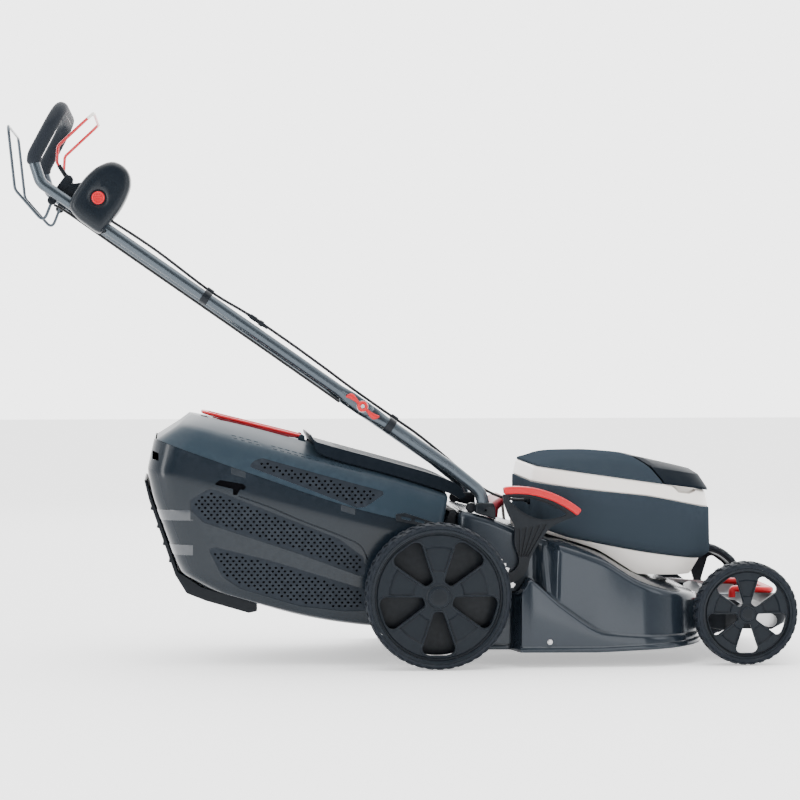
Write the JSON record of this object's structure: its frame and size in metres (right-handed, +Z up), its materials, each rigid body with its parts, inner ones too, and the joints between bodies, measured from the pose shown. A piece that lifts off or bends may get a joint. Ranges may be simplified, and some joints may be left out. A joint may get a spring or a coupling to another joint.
{
  "type": "cordless lawn mower",
  "caption": "Four-wheeled battery lawn mower with a rear grass box, a folding tubular handle with two bails, a side height lever and a hood over the motor and battery.",
  "frame": {"origin": "centre of the whole mower's bounding box, on the ground under the wheels", "axes": "+X forwards, towards the front wheels; +Y to the mower's left; +Z up"},
  "size_m": [1.519, 0.54, 1.0839],
  "materials": {
    "dark_plastic": "gloss",
    "black_plastic": "satin",
    "steel": "satin",
    "red_plastic": "satin",
    "slate_plastic": "gloss",
    "deck_paint": "gloss",
    "tube_paint": "satin",
    "cable_rubber": "satin",
    "grey_plastic": "satin",
    "tyre_rubber": "matte",
    "foam": "matte foam",
    "cream_plastic": "satin"
  },
  "bodies": {
    "battery_flap": {"battery_flap": "black_plastic"},
    "rotor": {"blade": "steel", "blade_bolt": "steel", "blade_carrier": "black_plastic", "rotor_shaft": "steel"},
    "box_handle": {"box_handle": "red_plastic"},
    "drive_bail": {"drive_bail": "tube_paint"},
    "front_arms": {"front_axle": "steel"},
    "front_wheel_left": {"front_hub_left": "black_plastic", "front_tyre_left": "tyre_rubber"},
    "front_wheel_right": {"front_hub_right": "black_plastic", "front_tyre_right": "tyre_rubber"},
    "grass_box": {"box_lower": "dark_plastic", "box_skid": "black_plastic", "box_upper": "slate_plastic"},
    "handle": {"bail_bearing": "dark_plastic", "drive_cable": "cable_rubber", "grip_sleeve": "foam", "power_cable_upper": "cable_rubber", "switch_box_inner": "dark_plastic", "switch_box_outer": "dark_plastic", "upper_handle": "tube_paint"},
    "link_rod": {"height_rod": "steel"},
    "motor_bail": {"motor_bail": "red_plastic"},
    "mower": {"battery_dock": "black_plastic", "battery_pack": "dark_plastic", "crank_bolt_left": "steel", "crank_bolt_right": "steel", "deck": "deck_paint", "deck_nose": "deck_paint", "discharge_chute": "black_plastic", "front_cover": "grey_plastic", "front_grip": "red_plastic", "handle_socket_left": "black_plastic", "handle_socket_right": "black_plastic", "hood_band": "slate_plastic", "hood_shell": "cream_plastic", "hood_top": "slate_plastic", "lever_rack": "steel", "lower_handle_left": "tube_paint", "lower_handle_right": "tube_paint", "motor_bearing": "steel", "motor_housing": "black_plastic", "power_cable_lower": "cable_rubber", "rear_grip": "red_plastic"},
    "rear_arms": {"drive_gearbox": "black_plastic", "height_lever": "black_plastic", "lever_grip": "red_plastic", "rear_axle_shaft": "steel", "rear_crank_left": "steel", "rear_crank_right": "steel"},
    "rear_flap": {"rear_flap": "black_plastic"},
    "rear_wheel_left": {"rear_hub_left": "black_plastic", "rear_tyre_left": "tyre_rubber"},
    "rear_wheel_right": {"rear_hub_right": "black_plastic", "rear_tyre_right": "tyre_rubber"},
    "safety_key": {"safety_key": "red_plastic"},
    "start_button": {"start_button": "red_plastic"},
    "wing_nut_left": {"wing_nut_left": "red_plastic"},
    "wing_nut_right": {"wing_nut_right": "red_plastic"}
  },
  "joints": [
    {"name": "height_adjust", "type": "hinge", "parent": "mower", "child": "rear_arms", "pos_m": [0.1195, 0, 0.137], "axis": [0, 1, 0], "range_deg": [-38, 3]},
    {"name": "front_height", "type": "hinge", "parent": "mower", "child": "front_arms", "pos_m": [0.7155, 0, 0.08], "axis": [0, 1, 0], "range_deg": [-38, 3]},
    {"name": "link_rod_pivot", "type": "hinge", "parent": "rear_arms", "child": "link_rod", "pos_m": [0.1195, 0.1965, 0.169], "axis": [0, 1, 0], "range_deg": [-3, 38]},
    {"name": "rear_wheel_right_spin", "type": "hinge", "parent": "rear_arms", "child": "rear_wheel_right", "pos_m": [0.0575, 0, 0.14], "axis": [0, 1, 0], "continuous": true},
    {"name": "rear_wheel_left_spin", "type": "hinge", "parent": "rear_arms", "child": "rear_wheel_left", "pos_m": [0.0575, 0, 0.14], "axis": [0, 1, 0], "continuous": true},
    {"name": "front_wheel_right_spin", "type": "hinge", "parent": "front_arms", "child": "front_wheel_right", "pos_m": [0.6575, 0, 0.1], "axis": [0, 1, 0], "continuous": true},
    {"name": "front_wheel_left_spin", "type": "hinge", "parent": "front_arms", "child": "front_wheel_left", "pos_m": [0.6575, 0, 0.1], "axis": [0, 1, 0], "continuous": true},
    {"name": "blade_spin", "type": "hinge", "parent": "mower", "child": "rotor", "pos_m": [0.3475, 0, 0.0455], "axis": [0, 0, 1], "continuous": true},
    {"name": "handle_fold", "type": "hinge", "parent": "mower", "child": "handle", "pos_m": [-0.0825, 0, 0.5], "axis": [0, 1, 0], "range_deg": [0, 140]},
    {"name": "wing_nut_right_turn", "type": "hinge", "parent": "handle", "child": "wing_nut_right", "pos_m": [-0.0825, -0.18, 0.5], "axis": [0, 1, 0], "continuous": true},
    {"name": "wing_nut_left_turn", "type": "hinge", "parent": "handle", "child": "wing_nut_left", "pos_m": [-0.0825, 0.18, 0.5], "axis": [0, 1, 0], "continuous": true},
    {"name": "motor_bail_pull", "type": "hinge", "parent": "handle", "child": "motor_bail", "pos_m": [-0.6425, 0, 0.932], "axis": [0, 1, 0], "range_deg": [-18, 0], "stiffness_Nm_per_rad": 0.6, "springref_deg": 22.92},
    {"name": "drive_bail_pull", "type": "hinge", "parent": "handle", "child": "drive_bail", "pos_m": [-0.6735, 0, 0.893], "axis": [0, 1, 0], "range_deg": [0, 20], "stiffness_Nm_per_rad": 0.6, "springref_deg": -22.92},
    {"name": "start_button_press", "type": "slide", "parent": "handle", "child": "start_button", "axis": [0, 1, 0], "range_m": [0, 0.004], "stiffness_N_per_m": 400, "springref_m": -0.004},
    {"name": "battery_flap_lift", "type": "hinge", "parent": "mower", "child": "battery_flap", "pos_m": [0.46, 0, 0.401], "axis": [0, 1, 0], "range_deg": [-80, 0]},
    {"name": "safety_key_turn", "type": "hinge", "parent": "mower", "child": "safety_key", "pos_m": [0.5355, 0.112, 0.35], "axis": [0, 0, 1], "range_deg": [0, 90]},
    {"name": "rear_flap_lift", "type": "hinge", "parent": "mower", "child": "rear_flap", "pos_m": [0.1155, 0, 0.322], "axis": [0, 1, 0], "range_deg": [0, 55], "stiffness_Nm_per_rad": 0.5, "springref_deg": -34.38},
    {"name": "grass_box_lift", "type": "slide", "parent": "mower", "child": "grass_box", "axis": [-0.9654, 0, 0.2607], "range_m": [0, 0.6]},
    {"name": "box_handle_lift", "type": "hinge", "parent": "grass_box", "child": "box_handle", "pos_m": [-0.1925, 0, 0.437], "axis": [0, 1, 0], "range_deg": [0, 75]}
  ],
  "couplings": [
    {"joint": "front_height", "follows": "height_adjust", "ratio": 1},
    {"joint": "link_rod_pivot", "follows": "height_adjust", "ratio": -1}
  ]
}
